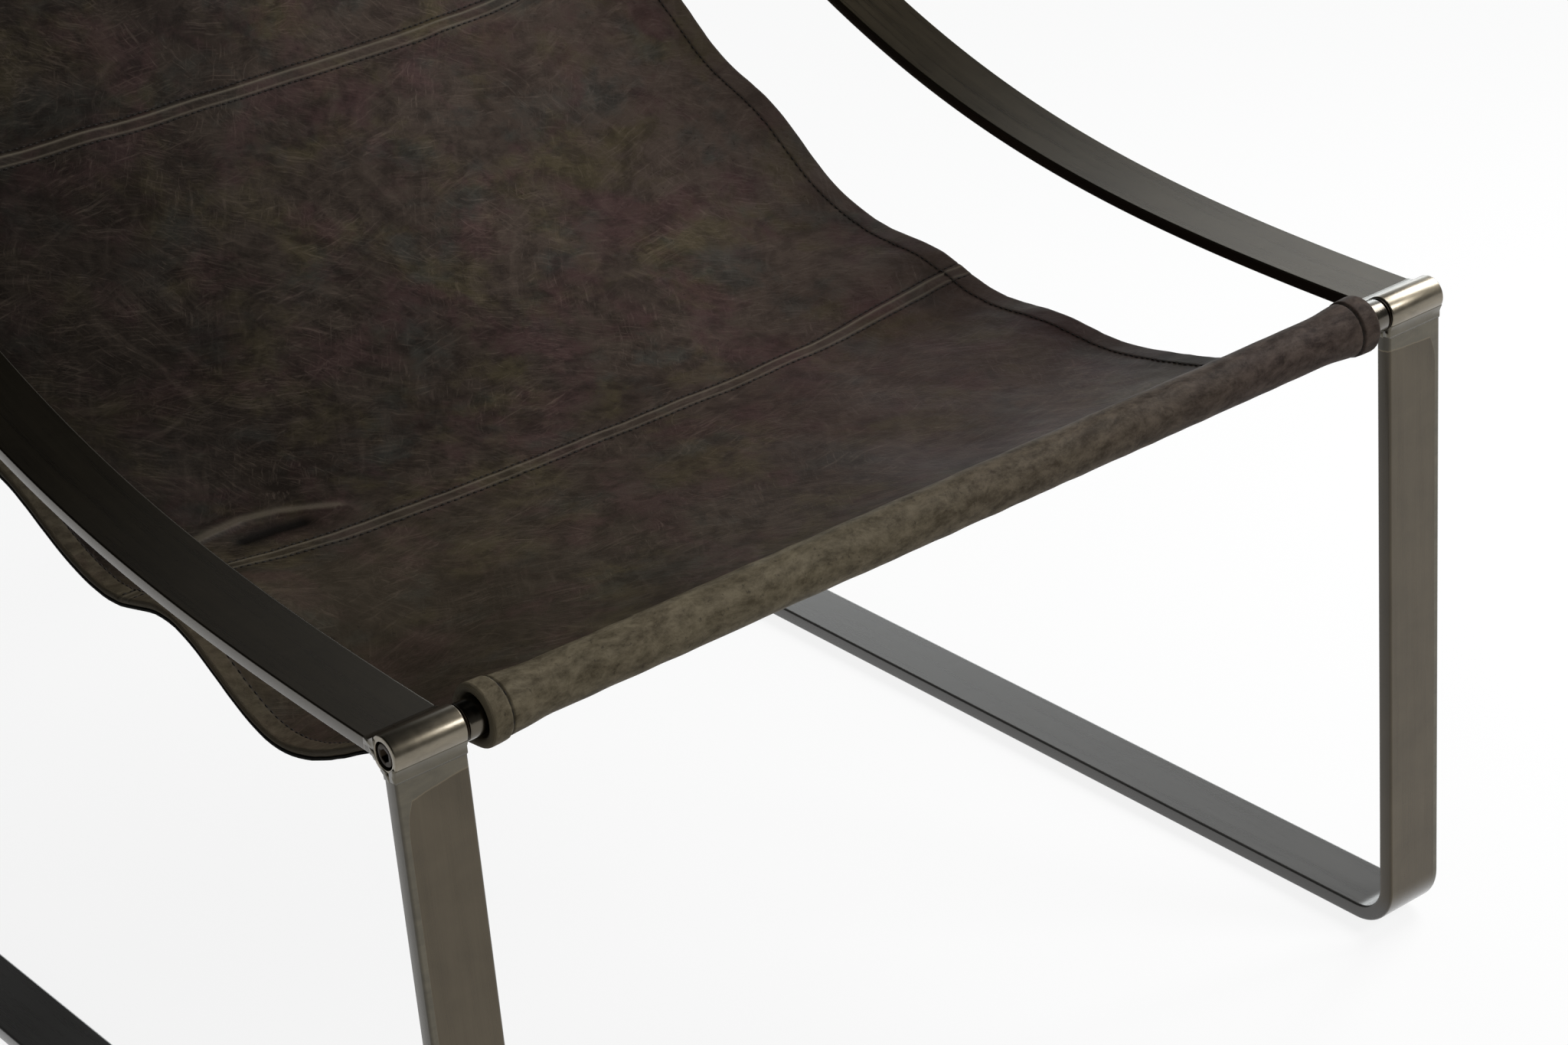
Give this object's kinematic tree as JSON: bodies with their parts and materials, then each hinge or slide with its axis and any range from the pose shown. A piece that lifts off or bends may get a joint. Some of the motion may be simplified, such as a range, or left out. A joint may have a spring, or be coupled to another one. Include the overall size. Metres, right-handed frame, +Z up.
{
  "type": "sling lounge chair",
  "caption": "Low lounge chair: two flat-bar metal side frames joined by cross rods, with a leather sling seat and back.",
  "frame": {"origin": "on the floor, under the middle of the chair's bounding box", "axes": "+Z is up, the front legs face -Y, and +X is to the right as seen by a person who stands in front of the chair and looks at it along +Y"},
  "size_m": [0.692, 0.876, 0.7547],
  "materials": {
    "bar_metal": "satin dark gunmetal with fine brush marks",
    "polished_metal": "hand-polished dark steel",
    "rod_metal": "satin dark steel",
    "fastener": "blackened steel",
    "glide": "black nylon",
    "leather": "waxed, distressed dark brown leather",
    "lining": "matt black backing"
  },
  "bodies": {
    "root": {"left_base_bar": "bar_metal", "right_base_bar": "bar_metal", "left_arm_bar": "bar_metal", "right_arm_bar": "bar_metal", "left_front_barrel": "polished_metal", "right_front_barrel": "polished_metal", "left_top_barrel": "polished_metal", "right_top_barrel": "polished_metal", "left_front_bolt": "fastener", "right_front_bolt": "fastener", "left_top_bolt": "fastener", "right_top_bolt": "fastener", "left_front_spacer": "fastener", "right_front_spacer": "fastener", "left_top_spacer": "fastener", "right_top_spacer": "fastener", "front_rod": "rod_metal", "top_rod": "rod_metal", "rear_stretcher": "bar_metal", "left_lower_stretcher_bolt": "fastener", "left_upper_stretcher_bolt": "fastener", "right_lower_stretcher_bolt": "fastener", "right_upper_stretcher_bolt": "fastener", "left_front_glide": "glide", "left_rear_glide": "glide", "right_front_glide": "glide", "right_rear_glide": "glide", "sling_front_panel": "leather", "sling_seat_panel": "leather", "sling_back_panel": "leather", "sling_lining": "lining"}
  },
  "joints": []
}
